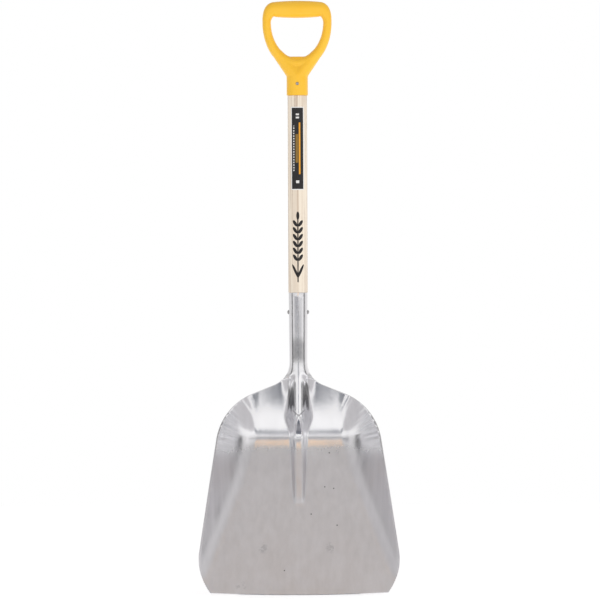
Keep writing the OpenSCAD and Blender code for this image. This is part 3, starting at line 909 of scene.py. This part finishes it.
satin_rough = 0.38 + (streaks - 0.5) * 0.24 + (drift - 0.5) * 0.16
bright_rough = 0.19 + (drift - 0.5) * 0.10
rough = satin_rough * (1 - polished) + bright_rough * polished
aluminium.feed("Roughness", (rough + smudges * 0.12 + pits * 0.4).most(0.08))
SATIN, BRIGHT = (0.765, 0.755, 0.775), (0.86, 0.86, 0.875)
metal_color = aluminium.blend(polished, SATIN, BRIGHT)
# smudges and pits are real marks; the crease, flank and neck terms are painted shade and painted
# reflections
marks_and_painted_shade = smudges * 0.14 + pits * 0.75 + crease * 0.5 + flank * 0.75 + neck * 0.42
shade = 1 - marks_and_painted_shade + (streaks - 0.5) * 0.2 + (drift - 0.5) * 0.12
aluminium.feed("Base Color", aluminium.tint(metal_color, shade))
dents = aluminium.noise(22, 2, seed=3.0)
hammered = aluminium.noise(120, 2, seed=11.0) * polished
relief = dents * 0.35 + hammered * 0.05 + fine_streaks * 0.004 - pits * 0.25 - crease * 0.5
aluminium.bump(relief, MM)
print("aluminium has", len(aluminium.nodes), "nodes")

# %% [markdown]
# ## Finish: ash wood
# Ash has straight, open grain. Each year leaves a band of pores that shows as a darker stripe along the
# handle, so the pattern is noise drawn out along Z.

# %% Ash
ash = Finish("turned_ash", ior=1.45)
years = ash.noise(210, 2, (1, 1, 0.02), 5.0)
fibres = ash.noise(1300, 3, (1, 1, 0.02), 1.0)
pores = ash.noise(2600, 2, (1, 1, 0.03), 9.0).step(0.60, 0.72) * years.step(0.42, 0.6)
CREAM, TAN = (0.93, 0.83, 0.69), (0.66, 0.535, 0.42)
bands = ash.noise(95, 1, (1, 1, 0.012), 3.0)
wood = ash.blend((years.step(0.46, 0.60) * 0.6 + bands.step(0.48, 0.60) * 0.4).least(1), CREAM, TAN)
wood = ash.tint(wood, 1 + (fibres - 0.5) * 0.16 - pores * 0.28)
print("grain has", len(ash.nodes), "nodes")

# %% [markdown]
# ## The mark on the wood
# A plain mark is printed on the wood: an ear of wheat on its stem, with kernels in pairs and two leaves.
# One oval makes each kernel, leaf and tip. A modulo repeats the kernels up the ear, and the distance from
# the middle mirrors them. The ink is thin, so the fibres show through it.

# %% Wheat mark
EAR_FROM, KERNEL_PITCH, KERNEL_PAIRS = 630, 13.0, 6
EAR_TO = EAR_FROM + KERNEL_PITCH * KERNEL_PAIRS
STEM_FROM, STEM_TO, STEM_HALF_W = 590, 712, 1.1
KERNEL_TILT = math.radians(32)
KERNEL_OUT, KERNEL_HALF_W, KERNEL_HALF_L = 5.2, 2.9, 7.0


def oval(x, z, tilt, half_w, half_l):
    """1 inside an ellipse about the point where x and z are 0."""
    side = x * math.cos(tilt) - z * math.sin(tilt)
    along = x * math.sin(tilt) + z * math.cos(tilt)
    side, along = side / half_w, along / half_l
    return (side * side + along * along).step(1.08, 0.92)


span = ash.across.absolute()
cell = (ash.up - EAR_FROM) % KERNEL_PITCH - KERNEL_PITCH / 2
ear = oval(span - KERNEL_OUT, cell, KERNEL_TILT, KERNEL_HALF_W, KERNEL_HALF_L)
ear = ear * ash.up.within(EAR_FROM, EAR_TO, 0.1)
TIP_HALF_W, TIP_HALF_L = 3.0, 8.0
tip = oval(span, ash.up - (EAR_TO + TIP_HALF_L), 0, TIP_HALF_W, TIP_HALF_L)
LEAF_OUT, LEAF_Z, LEAF_HALF_W, LEAF_HALF_L = 4.6, 610, 2.4, 15
leaf = oval(span - LEAF_OUT, ash.up - LEAF_Z, math.radians(24), LEAF_HALF_W, LEAF_HALF_L)
stem = span.step(STEM_HALF_W + 0.1, STEM_HALF_W) * ash.up.within(STEM_FROM, STEM_TO, 0.2)
ink = ear.most(tip).most(leaf).most(stem) * ash.back.step(0, -2)
ink = ink * (1 - fibres.step(0.66, 0.8) * 0.35)
INK_BLACK = (0.012, 0.011, 0.011)
ash.feed("Base Color", ash.blend(ink, wood, INK_BLACK))
ash.feed("Roughness", 0.46 + (fibres - 0.5) * 0.12 - ink * 0.12)
ash.bump(fibres * 0.05 - pores * 0.12, MM)
print("ash has", len(ash.nodes), "nodes")

# %% [markdown]
# ## Finish: moulded plastic
# The grip's yellow is mixed into the plastic, so only its gloss and a faint mould texture change over it.

# %% Plastic
plastic = Finish("moulded_yellow_plastic", ior=1.49)
cloud = plastic.noise(35, 2, seed=2.0)
grain = plastic.noise(1800, 2, seed=6.0)
YELLOW, PALE_YELLOW = (1.0, 0.54, 0.020), (1.0, 0.60, 0.045)
plastic.feed("Base Color", plastic.blend(cloud, YELLOW, PALE_YELLOW))
plastic.feed("Roughness", 0.30 + (cloud - 0.5) * 0.10 + (grain - 0.5) * 0.06)
plastic.bump(grain * 0.02 + cloud * 0.10, MM)
print("plastic has", len(plastic.nodes), "nodes")

# %% [markdown]
# ## Finish: printed label
# The film is black with a white border. Its print is plain: an amber band, a brown block, a row of pale
# ticks and small marks near both ends, all measured from the label's own edges.

# %% Label print
print_ink = Finish("printed_label_film", coat_weight=0.15, coat_roughness=0.3, ior=1.4)
arc = print_ink.across / LABEL_R
arc = (arc + arc * arc * arc * 0.17) * LABEL_R  # the distance round the film, near enough to the arcsine
LABEL_HALF = LABEL_R * LABEL_HALF_ANGLE
from_end = print_ink.up - (label_low.z - EDGE_Z)
BORDER, SOFT = 1.9, 0.15
field = arc.absolute().step(LABEL_HALF - BORDER + SOFT, LABEL_HALF - BORDER)
field = field * from_end.within(BORDER, LABEL_L - BORDER, SOFT)
band = arc.within(2.6, 5.4, SOFT) * from_end.within(30, 128, SOFT)
block = arc.within(-3.6, 1.6, SOFT) * from_end.within(52, 106, SOFT)
TICK_PITCH = 5.0
each_tick = (from_end % TICK_PITCH).within(1.0, 3.6, SOFT)
ticks = arc.within(-8.2, -6.2, SOFT) * each_tick * from_end.within(36, 122, SOFT)
end_marks = arc.within(-3.0, 3.0, SOFT) * (
    from_end.within(136, 139, SOFT) + from_end.within(142, 145, SOFT) + from_end.within(13, 18, SOFT)
)
WHITE, BLACK, AMBER = (0.86, 0.85, 0.83), (0.014, 0.013, 0.014), (0.90, 0.40, 0.02)
BROWN, PALE = (0.26, 0.15, 0.025), (0.80, 0.79, 0.77)
ink_color = print_ink.blend(field, WHITE, BLACK)
ink_color = print_ink.blend(band, ink_color, AMBER)
ink_color = print_ink.blend(block, ink_color, BROWN)
ink_color = print_ink.blend(ticks.most(end_marks), ink_color, PALE)
print_ink.feed("Base Color", ink_color)
film = print_ink.noise(300, 2, seed=8.0)
print_ink.feed("Roughness", 0.36 + (film - 0.5) * 0.12)
print_ink.bump(film * 0.01, MM)
print("label has", len(print_ink.nodes), "nodes")

# %% [markdown]
# ## Finish: rivets
# The rivets are a harder, greyer metal, left as they come from the hammer.

# %% Rivet metal
rivet_metal = Finish("hammered_rivet", metallic=1.0)
hammer = rivet_metal.noise(700, 2, seed=4.0)
DARK_METAL, LIGHT_METAL = (0.40, 0.40, 0.41), (0.62, 0.61, 0.60)
rivet_metal.feed("Base Color", rivet_metal.blend(hammer, DARK_METAL, LIGHT_METAL))
rivet_metal.feed("Roughness", 0.30 + (hammer - 0.5) * 0.2)
rivet_metal.bump(hammer * 0.12, MM)
print("rivet metal has", len(rivet_metal.nodes), "nodes")

# %% [markdown]
# ## Put the finishes on
# Every piece now takes its finish, rides on the shovel and hides the CAD solid that it stands for.

# %% Finish every piece
finish_piece(pan, "blade", aluminium, smooth_angle=50)
finish_piece(handle, "handle", ash)
finish_piece(grip, "d_grip", plastic)
finish_piece(socket_rivet, "socket_rivet", rivet_metal)
finish_piece(grip_rivet, "grip_rivet", rivet_metal)
finish_piece(label, "label", print_ink)
